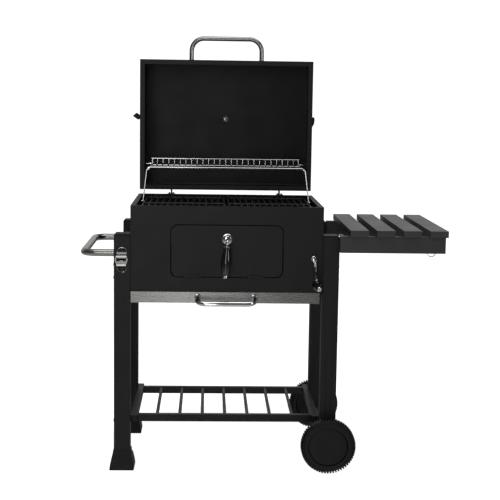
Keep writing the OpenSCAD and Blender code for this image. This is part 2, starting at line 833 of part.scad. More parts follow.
module crank_knob_cap() {
    r = 7.8;
    seat = asin((knob_pin_y - knob_len - knob_front - r) / r);
    placed() color([0.85, 0.85, 0.85]) on_arm() translate([0, knob_front + r, -crank_len])
        rotate([-90, 0, 0])
        rotate_extrude() polygon(concat([[0, -r]],
            [for (i = [1 : 12]) let (a = -90 + i * (seat + 90) / 12) r * [cos(a), sin(a)]],
            [[0, r * sin(seat)]]));
}

module charcoal_tray() {
    placed() color([0.2, 0.2, 0.2]) {
        difference() {
            block([-tray_half, tray_y[0], tray_z], [tray_half, tray_y[1], tray_z + tray_h]);
            block([-tray_half + sheet, tray_y[0] + sheet, tray_z + sheet],
                [tray_half - sheet, tray_y[1] - sheet, tray_z + tray_h + 1]);
            for (x = [-210 : 60 : 210], y = [70, 165, 260]) block([x - 4, y, tray_z - 1],
                [x + 4, y + 70, tray_z + 3]);
        }
        both_sides() block([tray_half, guide_y - 12, tray_z + 8],
            [half_w - 5, guide_y + 12, tray_z + 11]);
        translate([crank_x - pinion_r, 0, crank_z]) along_y(gear_y, gear_w) rack_shape(8, -14);
        block([crank_x - pinion_r - 14, gear_y + 2, crank_z + 40],
            [crank_x - pinion_r - 3, gear_y + gear_w - 2, tray_z + tray_h]);
        block([crank_x - pinion_r - 14, gear_y + 2, tray_z + 10],
            [crank_x - pinion_r - 8, tray_y[0], tray_z + tray_h]);
    }
}

// ---- ash drawer ----

module ash_pan() {
    x0 = drawer_x[0] + 12;
    x1 = drawer_x[1] - 12;
    z0 = box_z - drawer_h + 4;
    z1 = box_z - 11;
    back = box_d - 25;
    placed() color([0.2, 0.2, 0.2]) {
        block([-205, back - pan_wall, z1 - 3], [205, back, box_z - 1.5]);
        difference() {
            block([x0, 0, z0], [x1, back, z1]);
            block([x0 + pan_wall, pan_wall, z0 + pan_wall], [x1 - pan_wall, back - pan_wall, z1 + 1]);
        }
        block([drawer_x[0] + 2, 10, z1 - pan_wall], [x0, back, z1]);
        block([x1, 10, z1 - pan_wall], [drawer_x[1] - 2, back, z1]);
    }
}

module drawer_front() {
    placed() color([0.55, 0.55, 0.53]) {
        block([drawer_x[0], -2, box_z - drawer_h - 0.5], [drawer_x[1], 0, box_z - 0.5]);
    }
}

module drawer_handle() {
    drop = 14;
    placed() color([0.8, 0.8, 0.78]) {
        translate([drawer_mid, -2, box_z - 15.5]) {
            difference() {
                rotate([drop, 0, 0]) rotate([0, 0, 180]) translate([0, -6, 0])
                    bow(drawer_handle_half, 57.6, 24, 8);
                translate([-150, 0, -30]) cube([300, 30, 60]);
            }
            both_sides() bar_y([drawer_handle_half, -3, 0], 3, 10);
        }
    }
}

// ---- wheels ----

// Wheel lying on its axis, with its outer side upward
module wheel() {
    web = wheel_w / 2;
    difference() {
        rotate_extrude($fn = 96) polygon([[0, 2], [14, 2], [14, web - 3], [58, web - 3], [62, 3], [76, 0],
            [wheel_r - 3, 1], [wheel_r, 5], [wheel_r, wheel_w - 5], [wheel_r - 3, wheel_w - 1],
                [76, wheel_w],
            [64, wheel_w - 3], [61, web + 3], [14, web + 3], [14, wheel_w - hub_depth],
                [0, wheel_w - hub_depth]]);
        translate([0, 0, -1]) cylinder(h = wheel_w + 2, r = axle_r + fit_gap);
    }
}

// Puts a wheel or hub cap at the front or at the rear, its outer side facing out
module at_front() {
    translate([axle_x, wheel_front_y + wheel_w, wheel_r]) rotate([90, 0, 0]) children();
}

module at_rear() { translate([axle_x, wheel_rear_y, wheel_r]) rotate([-90, 0, 0]) children(); }

module hub_cap() {
    translate([0, 0, wheel_w - hub_depth]) rotate_extrude($fn = 96)
        polygon([[0, 0], [60, 0], [60, 1.5], [56, 3], [0, 3]]);
}

module wheel_front() { placed() color([0.11, 0.11, 0.11]) at_front() wheel(); }

module wheel_rear() { placed() color([0.11, 0.11, 0.11]) at_rear() wheel(); }

module hub_cap_front() { placed() color([0.1, 0.1, 0.1]) at_front() hub_cap(); }

module hub_cap_rear() { placed() color([0.1, 0.1, 0.1]) at_rear() hub_cap(); }

firebox_front_panel();
firebox_back_panel();
firebox_left_panel();
firebox_right_panel();
firebox_floor();
grate_ledges();
drawer_runners();
tray_guides();
leg_front_left();
leg_rear_left();
leg_front_right();
leg_rear_right();
leg_caps();
feet();
axle();
shelf_cross_rails();
shelf_side_rails();
shelf_bars();
push_handle();
table_aprons();
table_end_rail();
table_slat_1();
table_slat_2();
table_slat_3();
table_slat_4();
table_hook();
opener_plate();
bottle_opener();
crank_collar();
lid_hinge_brackets();
grill_grate_left();
grill_grate_right();
frame_bolts();
lid_wrap();
lid_cheek_left();
lid_cheek_right();
lid_handle();
lid_hinge_leaves();
thermometer();
rack_pivot_bolts();
vent_left();
vent_right();
warming_rack();
rack_legs();
fuel_door();
door_handle_metal();
door_handle_grip();
door_latch();
crank_shaft();
crank_sleeve();
crank_knob();
crank_knob_cap();
charcoal_tray();
ash_pan();
drawer_front();
drawer_handle();
wheel_front();
wheel_rear();
hub_cap_front();
hub_cap_rear();
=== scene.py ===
"""Looks, lights and camera of a charcoal grill cart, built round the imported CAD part.

Sizes are in millimetres: X to the right, Y to the back and Z up, from the ground under the middle of the
firebox's front face. at() turns them into the part's own frame, in metres.
"""

import json
import math

import bmesh
import bpy
from mathutils import Matrix, Vector


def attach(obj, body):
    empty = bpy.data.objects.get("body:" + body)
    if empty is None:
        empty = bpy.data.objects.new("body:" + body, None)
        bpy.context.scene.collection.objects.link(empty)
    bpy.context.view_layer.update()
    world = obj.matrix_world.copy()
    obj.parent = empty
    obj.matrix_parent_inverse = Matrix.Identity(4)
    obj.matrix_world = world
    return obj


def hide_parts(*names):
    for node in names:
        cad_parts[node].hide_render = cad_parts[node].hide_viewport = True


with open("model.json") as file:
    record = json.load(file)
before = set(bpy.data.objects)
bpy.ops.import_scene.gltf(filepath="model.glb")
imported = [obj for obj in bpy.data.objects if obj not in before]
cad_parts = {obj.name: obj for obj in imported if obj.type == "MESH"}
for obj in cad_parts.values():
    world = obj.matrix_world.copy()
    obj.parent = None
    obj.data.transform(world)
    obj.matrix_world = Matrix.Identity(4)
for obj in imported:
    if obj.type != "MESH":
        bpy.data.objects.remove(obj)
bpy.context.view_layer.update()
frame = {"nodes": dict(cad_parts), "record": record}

# The origin of the part's frame, as a place in the drawing
ORIGIN = Vector((111.75, 283.75, 0.0))
MM = 0.001

# Places that several pieces share
LEG_X = 320
FRONT_LEG_Y, REAR_LEG_Y = 19, 423
AXLE_Z = 85
LID_HINGE_Y, LID_HINGE_Z = 456, 820.5
ROSETTE_Z = 723.6
OPENER_X, OPENER_Z = -320, 658.4
# The warming rack's eyes (Y, Z) with the lid open
RACK_FRONT_EYE, RACK_REAR_EYE = (366, 911.6), (520, 921.1)


def at(x, y, z):
    """A place in the part's frame, in metres."""
    return (Vector((x, y, z)) - ORIGIN) * MM


# ---------------------------------------------------------------- materials


class Finish:
    """A node material in the making."""

    def __init__(self, name):
        self.material = bpy.data.materials.new(name)
        self.material.use_nodes = True
        self.tree = self.material.node_tree
        self.shader = self.tree.nodes["Principled BSDF"]
        self.coords = self.tree.nodes.new("ShaderNodeTexCoord").outputs["Object"]

    def set(self, **values):
        """Sets shader sockets, with _ for a space in their names."""
        for key, value in values.items():
            self.shader.inputs[key.replace("_", " ")].default_value = value

    def noise(self, scale, detail=2.0, stretch=(1, 1, 1)):
        """A noise that stays with the piece; it rarely leaves 0.3 to 0.7."""
        mapping = self.tree.nodes.new("ShaderNodeMapping")
        mapping.inputs["Scale"].default_value = stretch
        noise = self.tree.nodes.new("ShaderNodeTexNoise")
        noise.inputs["Scale"].default_value = scale
        noise.inputs["Detail"].default_value = detail
        self.tree.links.new(self.coords, mapping.inputs["Vector"])
        self.tree.links.new(mapping.outputs["Vector"], noise.inputs["Vector"])
        return noise.outputs["Fac"]

    def spread(self, source, low, high, socket):
        """Maps a noise onto a range of a shader socket."""
        node = self.tree.nodes.new("ShaderNodeMapRange")
        node.inputs["From Min"].default_value = 0.3
        node.inputs["From Max"].default_value = 0.7
        node.inputs["To Min"].default_value = low
        node.inputs["To Max"].default_value = high
        self.tree.links.new(source, node.inputs["Value"])
        self.tree.links.new(node.outputs["Result"], self.shader.inputs[socket])

    def mix(self, source, dark, light):
        node = self.tree.nodes.new("ShaderNodeMix")
        node.data_type = "RGBA"
        node.inputs["A"].default_value = (*dark, 1)
        node.inputs["B"].default_value = (*light, 1)
        self.tree.links.new(source, node.inputs["Factor"])
        self.tree.links.new(node.outputs["Result"], self.shader.inputs["Base Color"])

    def bump(self, source, strength, distance):
        node = self.tree.nodes.new("ShaderNodeBump")
        node.inputs["Strength"].default_value = strength
        node.inputs["Distance"].default_value = distance
        self.tree.links.new(source, node.inputs["Height"])
        self.tree.links.new(node.outputs["Normal"], self.shader.inputs["Normal"])


def powder_coat(name, dark, light, rough, level=0.5):
    finish = Finish(name)
    finish.set(Specular_IOR_Level=level)
    finish.mix(finish.noise(3.0), dark, light)
    finish.spread(finish.noise(14.0, 3.0), rough - 0.03, rough + 0.04, "Roughness")
    finish.bump(finish.noise(900.0, 2.0), 0.12, 0.0003)
    return finish.material


def brushed(name, colour, rough, stretch):
    finish = Finish(name)
    grain = finish.noise(1.0, 4.0, stretch)
    finish.set(Metallic=1.0)
    finish.mix(grain, [0.96 * c for c in colour], colour)
    finish.spread(grain, rough - 0.015, rough + 0.015, "Roughness")
    finish.bump(grain, 0.008, 0.0001)
    return finish.material


def plain_metal(name, colour, rough):
    finish = Finish(name)
    finish.set(Metallic=1.0, Base_Color=(*colour, 1))
    finish.spread(finish.noise(25.0), rough * 0.8, rough * 1.2, "Roughness")
    return finish.material


def plastic(name, colour, rough, grain, level):
    finish = Finish(name)
    finish.set(Base_Color=(*colour, 1), Specular_IOR_Level=level)
    finish.spread(finish.noise(20.0), rough * 0.9, rough * 1.1, "Roughness")
    if grain:
        finish.bump(finish.noise(1400.0), grain, 0.0002)
    return finish.material


FINISHES = {
    "black_satin": powder_coat("black_satin", (0.0080, 0.0080, 0.0083), (0.0095, 0.0095, 0.0098), 0.46, 0.36),
    "slat_grey": powder_coat("slat_grey", (0.052, 0.052, 0.0525), (0.058, 0.058, 0.0585), 0.40, 0.5),
    "grate_enamel": powder_coat("grate_enamel", (0.014, 0.014, 0.0145), (0.019, 0.019, 0.0195), 0.30),
    "stainless": brushed("stainless", (0.37, 0.365, 0.35), 0.27, (7, 1500, 1500)),
    "zinc_steel": plain_metal("zinc_steel", (0.5, 0.5, 0.51), 0.38),
    "bright_chrome": plain_metal("bright_chrome", (0.74, 0.74, 0.75), 0.09),
    "black_plastic": plastic("black_plastic", (0.006, 0.006, 0.0062), 0.52, 0.10, 0.35),
    "black_gloss_plastic": plastic("black_gloss_plastic", (0.005, 0.005, 0.0055), 0.10, 0.0, 1.0),
}


# ---------------------------------------------------------------- shapes


def full_turn(count):
    """Equal steps round a circle, in radians."""
    return [2 * math.pi * k / count for k in range(count)]


def turned_about(place, degrees, axis):
    there = Matrix.Translation(place)
    return there @ Matrix.Rotation(math.radians(degrees), 4, axis) @ there.inverted()


def rounded_path(points, radius, steps):
    """The points with every inner corner turned into an arc."""
    points = [Vector(p) for p in points]
    path = [points[0]]
    for before, corner, after in zip(points, points[1:], points[2:]):
        a = (before - corner).normalized()
        b = (after - corner).normalized()
        half = a.angle(b) / 2
        reach = radius / math.tan(half)
        centre = corner + (a + b).normalized() * (radius / math.sin(half))
        start = corner + a * reach - centre
        end = corner + b * reach - centre
        sweep = start.angle(end)
        axis = start.cross(end).normalized()
        for i in range(steps + 1):
            path.append(centre + Matrix.Rotation(sweep * i / steps, 3, axis) @ start)
    path.append(points[-1])
    return path


class Form:
    """A mesh being put together, in millimetres."""

    def __init__(self):
        self.bm = bmesh.new()

    def join(self, rings, closed=False):
        """Skins a row of rings; a ring may be a single point."""
        pairs = list(zip(rings, rings[1:]))
        if closed:
            pairs.append((rings[-1], rings[0]))
        for low, high in pairs:
            n = max(len(low), len(high))
            for i in range(n):
                corners = [low[i % len(low)], low[(i + 1) % len(low)], high[(i + 1) % len(high)],
                           high[i % len(high)]]
                corners = list(dict.fromkeys(corners))
                if len(corners) > 2:
                    self.bm.faces.new(corners)

    def tube(self, path, radius, sides, closed=False):
        """A round bar along a path."""
        path = [Vector(p) for p in path]
        n = len(path)
        ways = []
        for i in range(n):
            before = path[i - 1] if i or closed else path[i]
            after = path[(i + 1) % n] if i < n - 1 or closed else path[i]
            ways.append((after - before).normalized())
        side = ways[0].orthogonal().normalized()
        rings = []
        for i, (p, way) in enumerate(zip(path, ways)):
            if i:
                side = ways[i - 1].rotation_difference(way) @ side
            side = (side - way * side.dot(way)).normalized()
            up = way.cross(side)
            rings.append([self.bm.verts.new(p + radius * (math.cos(a) * side + math.sin(a) * up))
                          for a in full_turn(sides)])
        self.join(rings, closed)
        if not closed:
            self.bm.faces.new(list(reversed(rings[0])))
            self.bm.faces.new(rings[-1])

    def lathe(self, base, axis, profile, sides, closed=False):
        """Turns (radius, height) points about an axis."""
        base = Vector(base)
        axis = Vector(axis).normalized()
        side = axis.orthogonal().normalized()
        up = axis.cross(side)
        rings = []
        for radius, height in profile:
            middle = base + axis * height
            if radius < 1e-6:
                rings.append([self.bm.verts.new(middle)])
                continue
            rings.append([self.bm.verts.new(middle + radius * (math.cos(a) * side + math.sin(a) * up))
                          for a in full_turn(sides)])
        self.join(rings, closed)
        if not closed:
            for ring in (rings[0], rings[-1]):
                if len(ring) > 1:
                    self.bm.faces.new(ring)

    def ball(self, centre, radius, squash, axis, sides):
        """A ball, squashed along its axis."""
        steps = 20
        turn = [math.pi * i / steps - math.pi / 2 for i in range(steps + 1)]
        profile = [(radius * math.cos(a), radius * squash * math.sin(a)) for a in turn]
        profile[0] = (0.0, profile[0][1])
        profile[-1] = (0.0, profile[-1][1])
        self.lathe(centre, axis, profile, sides)

    def prism(self, outline, along, origin, u=(1, 0, 0), v=(0, 0, 1)):
        """An outline in the plane of u and v, pushed along a vector."""
        origin, u, v, along = Vector(origin), Vector(u), Vector(v), Vector(along)
        low = [self.bm.verts.new(origin + u * a + v * b) for a, b in outline]
        high = [self.bm.verts.new(p.co + along) for p in low]
        self.join([low, high])
        self.bm.faces.new(list(reversed(low)))
        self.bm.faces.new(high)

    def box(self, low, high):
        x0, y0, z0 = low
        x1, y1, z1 = high
        outline = [(x0, y0), (x1, y0), (x1, y1), (x0, y1)]
        self.prism(outline, (0, 0, z1 - z0), (0, 0, z0), (1, 0, 0), (0, 1, 0))

    def plate(self, outlines, along):
        """A flat plate inside the first outline, with the others cut out, pushed along a vector."""
        edges = []
        for outline in outlines:
            verts = [self.bm.verts.new(p) for p in outline]
            edges += [self.bm.edges.new((verts[i], verts[(i + 1) % len(verts)])) for i in range(len(verts))]
        filled = bmesh.ops.triangle_fill(self.bm, use_beauty=True, use_dissolve=False, edges=edges)
        faces = [f for f in filled["geom"] if isinstance(f, bmesh.types.BMFace)]
        pushed = bmesh.ops.extrude_face_region(self.bm, geom=faces)
        verts = [v for v in pushed["geom"] if isinstance(v, bmesh.types.BMVert)]
        bmesh.ops.translate(self.bm, verts=verts, vec=along)

    def moved(self, matrix):
        bmesh.ops.transform(self.bm, matrix=matrix, verts=self.bm.verts)
        return self

    def piece(self, name, body, slot, replaces=(), bevel=0.0, sharp=32):
        """Finishes the mesh as a piece that moves with a CAD body."""
        bmesh.ops.remove_doubles(self.bm, verts=self.bm.verts, dist=1e-4)
        bmesh.ops.recalc_face_normals(self.bm, faces=self.bm.faces)
        for vert in self.bm.verts:
            vert.co = at(*vert.co)
        mesh = bpy.data.meshes.new(name)
        self.bm.to_mesh(mesh)
        self.bm.free()
        mesh.shade_smooth()
        mesh.set_sharp_from_angle(angle=math.radians(sharp))
        mesh.materials.append(FINISHES[slot])
        piece = bpy.data.objects.new(name, mesh)
        bpy.context.scene.collection.objects.link(piece)
        if bevel:
            soften(piece, bevel, sharp)
        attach(piece, body)
        if replaces:
            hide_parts(*replaces)


def soften(piece, width, sharp, segments=3):
    """Rounds a piece's sharp edges."""
    bevel = piece.modifiers.new("soft edges", "BEVEL")
    bevel.width = width * MM
    bevel.segments = segments
    bevel.limit_method = "ANGLE"
    bevel.angle_limit = math.radians(sharp)
    bevel.use_clamp_overlap = True
    bevel.harden_normals = True


def ring_outline(width, height, radius, steps):
    """A rounded rectangle's outline, centred on the origin."""
    points = []
    for i, (sx, sz) in enumerate(((1, 1), (-1, 1), (-1, -1), (1, -1))):
        for k in range(steps + 1):
            a = math.pi / 2 * (i + k / steps)
            points.append((sx * (width / 2 - radius) + radius * math.cos(a),
                           sz * (height / 2 - radius) + radius * math.sin(a)))
    return points


# ---------------------------------------------------------------- CAD sheet metal

# How far the edges of the CAD nodes are rounded; the rest is thin sheet and wire
THIN_SHEET_BEVEL = 0.35
CAD_BEVELS = {
    "table_slat_1": 0.9, "table_slat_2": 0.9, "table_slat_3": 0.9, "table_slat_4": 0.9,
    "leg_front_left": 1.6, "leg_rear_left": 1.6, "leg_front_right": 1.6, "leg_rear_right": 1.6,
    "shelf_side_rails": 1.2, "shelf_cross_rails": 1.2, "leg_caps": 1.0,
    "table_aprons": 1.2, "table_end_rail": 1.2,
}


def dress_cad_nodes():
    """Gives every CAD node its finish, and rounds the edges of the sheet metal and plastic."""
    slots = {part["node"]: part["material_slot"] for part in frame["record"]["subparts"]}
    for name, node in frame["nodes"].items():
        node.data.materials.clear()
        node.data.materials.append(FINISHES[slots[name]])
        weld = node.modifiers.new("weld", "WELD")
        weld.merge_threshold = 1e-6
        soften(node, CAD_BEVELS.get(name, THIN_SHEET_BEVEL), 34, 2)
        node.modifiers.new("normals", "WEIGHTED_NORMAL")


# ---------------------------------------------------------------- firebox and cart pieces


def grates():
    x0, x1, y0, y1, z = 7, 265, 12, 428, 812
    middle = 220
    bars = 12
    for side, name in ((-1, "grill_grate_left"), (1, "grill_grate_right")):
        form = Form()
        rim = [(side * x0, middle, z), (side * x0, y0, z), (side * x1, y0, z), (side * x1, y1, z),
               (side * x0, y1, z), (side * x0, middle, z)]
        form.tube(rounded_path(rim, 8, 8)[:-1], 3.0, 16, closed=True)
        form.tube([(side * x0, middle, z - 0.5), (side * x1, middle, z - 0.5)], 2.5, 16)
        for i in range(1, bars + 1):
            x = side * (x0 + i * (x1 - x0) / (bars + 1))
            form.tube([(x, y0, z + 1.6), (x, y1, z + 1.6)], 2.2, 16)
        form.piece(name + "_wires", "cart", "grate_enamel", [name])


def push_handle():
    form = Form()
    leg_face, grip, z = -344, -440, 676
    points = [(leg_face, FRONT_LEG_Y, z), (grip, FRONT_LEG_Y, z), (grip, REAR_LEG_Y, z),
              (leg_face, REAR_LEG_Y, z)]
    form.tube(rounded_path(points, 40, 18), 11.0, 40)
    form.piece("push_handle_tube", "cart", "stainless", ["push_handle"])


def feet():
    """The two left feet: moulded shoes that narrow in tiers up to a collar round the leg."""
    form = Form()
    # Half sizes in X and Y, height and corner radius of each tier
    tiers = [(38, 44, 0, 3), (38, 44, 2, 3), (36.6, 42.4, 14, 3), (32.2, 36.4, 36, 3), (31.0, 35.0, 39, 3),
             (28.4, 29.0, 46, 2.5), (27.6, 27.8, 50, 2.5), (27.5, 27.5, 57, 2.5), (26.8, 26.8, 58, 2.5)]
    for y in (FRONT_LEG_Y, REAR_LEG_Y):
        rings = []
        for half_x, half_y, z, radius in tiers:
            outline = ring_outline(2 * half_x, 2 * half_y, radius, 5)
            rings.append([form.bm.verts.new((-LEG_X + a, y + b, z)) for a, b in outline])
        form.join(rings)
        form.bm.faces.new(rings[0])
        form.bm.faces.new(rings[-1])
    form.piece("feet_moulded", "cart", "black_plastic", ["feet"], 0.8, 40)


def axle():
    form = Form()
    form.tube([(LEG_X, -45.5, AXLE_Z), (LEG_X, 487.5, AXLE_Z)], 5.0, 32)
    form.piece("axle_rod", "cart", "zinc_steel", ["axle"])


def shelf_bars():
    form = Form()
    count, width, front, rear, z = 7, 570, 66, 399, 154
    for i in range(1, count + 1):
        x = (i - 4) * width / (count + 1)
        form.tube([(x, front, z), (x, rear, z)], 5.3, 24)
    form.piece("shelf_rods", "cart", "black_satin", ["shelf_bars"])


def hook():
    """A round wire hook with two straight ends under the table's front apron."""
    form = Form()
    x, y, z, radius = 625.6, -15.05, 691, 13
    arc = [(x + radius * math.cos(a), y, z + radius * math.sin(a))
           for a in [math.pi * (1 + i / 24) for i in range(25)]]
    form.tube([(x - radius, y, z + 6)] + arc + [(x + radius, y, z + 6)], 1.4, 16)
    form.piece("table_hook_wire", "cart", "bright_chrome", ["table_hook"])


def opener_backing():
    """The bottle opener's plastic backing, with a chrome rim and two screws."""
    form = Form()
    form.prism(ring_outline(31, 76, 15.4, 16), (0, 3, 0), (OPENER_X, -9, OPENER_Z))
    form.piece("opener_backing", "cart", "black_gloss_plastic", ["opener_plate"], 1.0)
    form = Form()
    rim = [Vector((OPENER_X + a, -9.0, OPENER_Z + b)) for a, b in ring_outline(30, 75, 14.9, 16)]
    form.tube(rim, 0.55, 10, closed=True)
    form.piece("opener_rim", "cart", "bright_chrome")
    form = Form()
    screw = [(0, -0.5), (4.2, -0.5), (4.2, 0.6), (3.4, 1.4), (1.9, 1.7), (1.9, 0.8), (0, 0.8)]
    for z in (689.5, 626.5):
        form.lathe((OPENER_X, -9, z), (0, -1, 0), screw, 32)
    form.piece("opener_screws", "cart", "black_gloss_plastic")


def bottle_opener():
    """A bent steel bracket that carries an open frame with a lip at its foot."""
    form = Form()
    x = -321
    form.box((x - 15, -11, 671), (x + 15, -9, 682))
    bend = [(-11, 671), (-9, 676), (-15, 675.6), (-22, 671.6), (-26, 667.5), (-26, 664.5), (-24, 664.5),
            (-21, 669.4), (-15, 672.6)]
    form.prism(bend, (33, 0, 0), (x - 16.5, 0, 0), (0, 1, 0), (0, 0, 1))
    outer = [(-16.5, 668), (16.5, 668), (19, 666), (20, 661), (18, 653), (14.5, 646), (-14.5, 646),
             (-18, 653), (-20, 661), (-19, 666)]
    inner = [(-13.5, 665.5), (13.5, 665.5), (15.2, 663.6), (15.6, 660.5), (13, 656.2), (9, 655.6),
             (5, 658.4), (0, 659.6), (-5, 658.4), (-9, 655.6), (-13, 656.2), (-15.6, 660.5), (-15.2, 663.6)]
    corner = Vector((x, -26, 0))
    form.plate([[corner + Vector((a, 0, b)) for a, b in outline] for outline in (outer, inner)], (0, 2.0, 0))
    lip = [(-26, 647), (-24, 646), (-29.2, 640.8), (-31, 642.4)]
    form.prism(lip, (29, 0, 0), (x - 14.5, 0, 0), (0, 1, 0), (0, 0, 1))
    form.piece("bottle_opener_steel", "cart", "stainless", ["bottle_opener"], 0.5, 30)


def bolts():
    """Bolt heads with a socket, on the outer faces of the legs."""
    form = Form()
    leg_face = 345
    head = [(0, -0.5), (6.0, -0.5), (6.0, 0.8), (5.2, 2.0), (3.6, 2.8), (2.0, 3.0), (2.0, 1.2), (0, 1.2)]
    for sign in (-1, 1):
        for y in (FRONT_LEG_Y, REAR_LEG_Y):
            for z in (149, 600, 640):
                form.lathe((sign * leg_face, y, z), (sign, 0, 0), head, 32)
    form.piece("frame_bolt_heads", "cart", "black_satin", ["frame_bolts"])


# ---------------------------------------------------------------- lid


def opened(form):
    """Turns a form drawn with the lid closed to its open place."""
    return form.moved(turned_about((0, LID_HINGE_Y, LID_HINGE_Z), -90, "X"))


def lid_handle():
    half, z = 120.5, 905
    form = Form()
    points = [(-half, 0.5, z), (-half, -75, z), (half, -75, z), (half, 0.5, z)]
    form.tube(rounded_path(points, 42, 16), 8.0, 40)
    opened(form).piece("lid_handle_tube", "lid", "stainless", ["lid_handle"])
    form = Form()
    for x in (-half, half):
        form.lathe((x, 1.5, z), (0, 1, 0), [(0, 0), (7, 0), (7, 2.2), (5.5, 3.6), (0, 4.0)], 6)
    opened(form).piece("lid_handle_nuts", "lid", "zinc_steel", (), 0.4, 25)


def thermometer():
    """A round case with a marked dial and a needle on the lid's top, and its stem inside the lid."""
    x, y, top = 2, 201.5, 1031
    dial = top + 14.4
    up, down = (0, 0, 1), (0, 0, -1)
    form = Form()
    case = [(0, 0.2), (27, 0.2), (30, 3), (30, 14), (28.6, 16.4), (27.4, 16.9), (26.2, 16.4), (26.0, 14.4),
            (0, 14.4)]
    form.lathe((x, y, top), up, case, 96)
    opened(form).piece("thermometer_case", "lid", "stainless", ["thermometer"])

    form = Form()
    for i in range(21):
        a = math.radians(-225 + 13.5 * i)
        long = 4.6 if i % 5 == 0 else 2.6
        way = Vector((math.cos(a), math.sin(a), 0))
        across = Vector((-math.sin(a), math.cos(a), 0)) * 0.35
        low = Vector((x, y, dial)) + way * (23.5 - long)
        form.prism([(0, 0), (long, 0), (long, 1), (0, 1)], (0, 0, 0.25), low - across, way, across * 2)
    needle = [(-0.9, -5), (0.9, -5), (0.35, 18), (-0.35, 18)]
    form.prism(needle, (0, 0, 0.5), (x, y, top + 15.0), (0.819, -0.574, 0), (-0.574, -0.819, 0))
    form.lathe((x, y, dial), up, [(0, 0), (2.4, 0), (2.4, 1.2), (1.4, 1.6), (0, 1.6)], 32)
    opened(form).piece("thermometer_dial", "lid", "black_gloss_plastic")

    form = Form()
    form.lathe((x, y, top), down, [(0, 1.5), (8.6, 1.5), (8.6, 2.4), (0, 2.4)], 40)
    form.lathe((x, y, top), down, [(0, 2.4), (6.5, 2.4), (6.5, 7.0), (5.6, 7.5), (0, 7.5)], 6)
    form.lathe((x, y, top), down, [(0, 7.0), (3.2, 7.0), (3.2, 43.6), (2.0, 46), (0, 46)], 32)
    opened(form).piece("thermometer_stem", "lid", "bright_chrome", (), 0.25, 25)


def rack_bolts():
    """The bolts that the warming rack's rear eyes hang on, drawn with the lid closed."""
    form = Form()
    y = LID_HINGE_Y - (RACK_REAR_EYE[1] - LID_HINGE_Z)
    z = LID_HINGE_Z + (RACK_REAR_EYE[0] - LID_HINGE_Y)
    head = [(0, -0.3), (4.5, -0.3), (4.5, 0.8), (3.6, 2.4), (2.0, 3.4), (0, 3.5)]
    nut = [(0, -0.3), (4.4, -0.3), (4.4, 3.0), (0, 3.0)]
    for sign in (-1, 1):
        form.tube([(sign * 257, y, z), (sign * 292, y, z)], 2.0, 24)
        form.lathe((sign * 293.5, y, z), (sign, 0, 0), head, 32)
        form.lathe((sign * 292, y, z), (-sign, 0, 0), nut, 6)
    opened(form).piece("rack_bolt_set", "lid", "bright_chrome", ["rack_pivot_bolts"])


def warming_rack():
    front, rear, z, half = RACK_FRONT_EYE[0], 524, 918, 256
    rim = z + 21
    wires = 25
    form = Form()
    form.tube([(-half, front, z), (half, front, z)], 2.6, 24)
    form.tube([(-half, rear - 8, z - 1.5), (half, rear - 8, z - 1.5)], 2.4, 20)
    form.tube([(-half, rear, rim), (half, rear, rim)], 2.4, 20)
    for i in range(1, wires + 1):
        x = -half + i * 2 * half / (wires + 1)
        points = [(x, front - 0.6, z + 1.2), (x, rear, z + 1.2), (x, rear, rim)]
        form.tube(rounded_path(points, 3.2, 5), 1.6, 14)
    for sign in (-1, 1):
        x = sign * (half - 2.5)
        form.tube(rounded_path([(x, front, z), (x, rear, z), (x, rear, rim)], 4, 6), 2.3, 20)
        for (y, height), bore in ((RACK_FRONT_EYE, 2.6), (RACK_REAR_EYE, 2.05)):
            eye = [(bore, -2), (5.0, -2), (5.0, 2), (bore, 2)]
            form.lathe((sign * 260, y, height), (1, 0, 0), eye, 32, closed=True)
            x0, x1 = sorted((sign * 254, sign * 260))
            low, high = sorted((height + (4.4 if height < z else -4.4), z))
            form.box((x0, y - 1.6, low - 0.8), (x1, y + 1.6, high + 0.8))
    for sign in (-1, 1):
        for y, height in ((front, z), (rear, rim)):
            form.ball((sign * half, y, height), 2.5, 0.4, (1, 0, 0), 20)
    form.piece("warming_rack_wires", "rack", "bright_chrome", ["warming_rack"])


def rack_legs():
    form = Form()
    foot, eye = (302, 811), RACK_FRONT_EYE
    for sign in (-1, 1):
        points = [(sign * 298, *foot), (sign * 273, *foot), (sign * 264.5, *eye), (sign * 257, *eye)]
        form.tube(rounded_path(points, 3.4, 6), 2.0, 20)
    form.piece("rack_leg_wires", "rack_legs", "bright_chrome", ["rack_legs"])


def vents():
    """A disc with four holes, a pivot and a finger tab on each side of the lid."""
    z = 924.5
    disc = [(40 * math.cos(a), 40 * math.sin(a)) for a in full_turn(96)]
    holes = []
    for q in range(4):
        middle = math.radians(45 + 90 * q)
        cx, cz = 22 * math.cos(middle), 22 * math.sin(middle)
        holes.append([(cx + 8 * math.cos(a), cz + 8 * math.sin(a)) for a in full_turn(32)])
    left_tab = [(0, 2), (16, -8.5), (29, 2.5), (13.5, 14.2), (11, 15), (8.5, 15), (0, 12)]
    right_tab = [(0, -17), (12, -17), (14.2, -15.5), (15, -12), (15, 0), (12.8, 8), (7, 18), (0, 20)]
    for sign, name, y, tab in ((-1, "vent_left", 190, left_tab), (1, "vent_right", 206, right_tab)):
        form = Form()
        centre = Vector((sign * 293.9, y, z))
        outlines = [[centre + Vector((0, a, b)) for a, b in outline] for outline in [disc] + holes]
        form.plate(outlines, (sign * 1.2, 0, 0))
        form.lathe((sign * 295, y, z), (-sign, 0, 0), [(0, 0), (3, 0), (3, 6), (6, 6), (6, 8), (0, 8)], 32)
        place = (sign * 294.5, y, z - 7)
        form.prism([(sign * a, b) for a, b in tab], (0, 0, 14), place, (1, 0, 0), (0, 1, 0))
        opened(form).piece(name + "_disc", name, "black_plastic", [name], 0.6, 30)


# ---------------------------------------------------------------- door, crank and drawer


